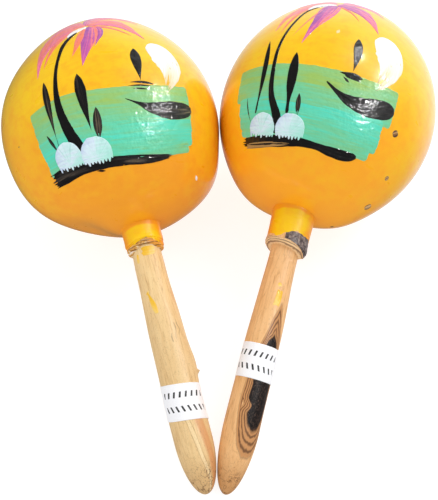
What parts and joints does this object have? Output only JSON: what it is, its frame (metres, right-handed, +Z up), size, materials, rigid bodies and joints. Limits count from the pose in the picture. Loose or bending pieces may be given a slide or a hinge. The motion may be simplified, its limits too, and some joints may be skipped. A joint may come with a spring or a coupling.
{
  "type": "pair of gourd maracas",
  "caption": "Pair of hand-painted gourd maracas: hollow round heads on turned wooden handles with loose seeds inside, lying side by side in a V.",
  "frame": {"origin": "centre of the bottom of the box round the pair, on the surface that the maracas lie on", "axes": "+Z up; +Y along the middle line of the V towards the heads, the longest side; +X across the V from the left maraca to the right one"},
  "size_m": [0.2012, 0.2116, 0.101],
  "materials": {
    "gourd_enamel": "dried gourd in glossy hand-brushed orange enamel, painted with a beach scene",
    "left_handle_wood": "turned pale wood with a reddish streak, lightly varnished",
    "right_handle_wood": "turned tan wood with dark ringed heartwood, lightly varnished",
    "neck_glue": "hard glue painted over with the orange enamel",
    "label_paper": "matte white sticker paper",
    "seed_coat": "hard dark dry seed"
  },
  "bodies": {
    "left_maraca": {"left_gourd_shell": "gourd_enamel", "left_handle": "left_handle_wood", "left_neck_glue": "neck_glue", "left_label": "label_paper"},
    "left_swirling_seeds": {"left_seed_row_1": "seed_coat", "left_seed_row_3": "seed_coat", "left_seed_row_5": "seed_coat"},
    "left_tossed_seeds": {"left_seed_row_2": "seed_coat", "left_seed_row_4": "seed_coat", "left_seed_row_6": "seed_coat"},
    "right_maraca": {"right_gourd_shell": "gourd_enamel", "right_handle": "right_handle_wood", "right_neck_glue": "neck_glue", "right_label": "label_paper"},
    "right_swirling_seeds": {"right_seed_row_1": "seed_coat", "right_seed_row_3": "seed_coat", "right_seed_row_5": "seed_coat"},
    "right_tossed_seeds": {"right_seed_row_2": "seed_coat", "right_seed_row_4": "seed_coat", "right_seed_row_6": "seed_coat"}
  },
  "joints": [
    {"name": "right_maraca_lift", "type": "slide", "parent": "left_maraca", "child": "right_maraca", "axis": [0, 0, 1], "range_m": [0, 0.15]},
    {"name": "left_seed_swirl", "type": "hinge", "parent": "left_maraca", "child": "left_swirling_seeds", "pos_m": [-0.0505, 0.04568, 0.05013], "axis": [-0.2651, 0.9215, 0.2838], "continuous": true},
    {"name": "left_seed_toss", "type": "slide", "parent": "left_maraca", "child": "left_tossed_seeds", "axis": [0.0785, -0.2727, 0.9589], "range_m": [0, 0.062]},
    {"name": "right_seed_swirl", "type": "hinge", "parent": "right_maraca", "child": "right_swirling_seeds", "pos_m": [0.05014, 0.05344, 0.05049], "axis": [0.2658, 0.9239, 0.2751], "continuous": true},
    {"name": "right_seed_toss", "type": "slide", "parent": "right_maraca", "child": "right_tossed_seeds", "axis": [-0.0761, -0.2644, 0.9614], "range_m": [0, 0.062]}
  ]
}
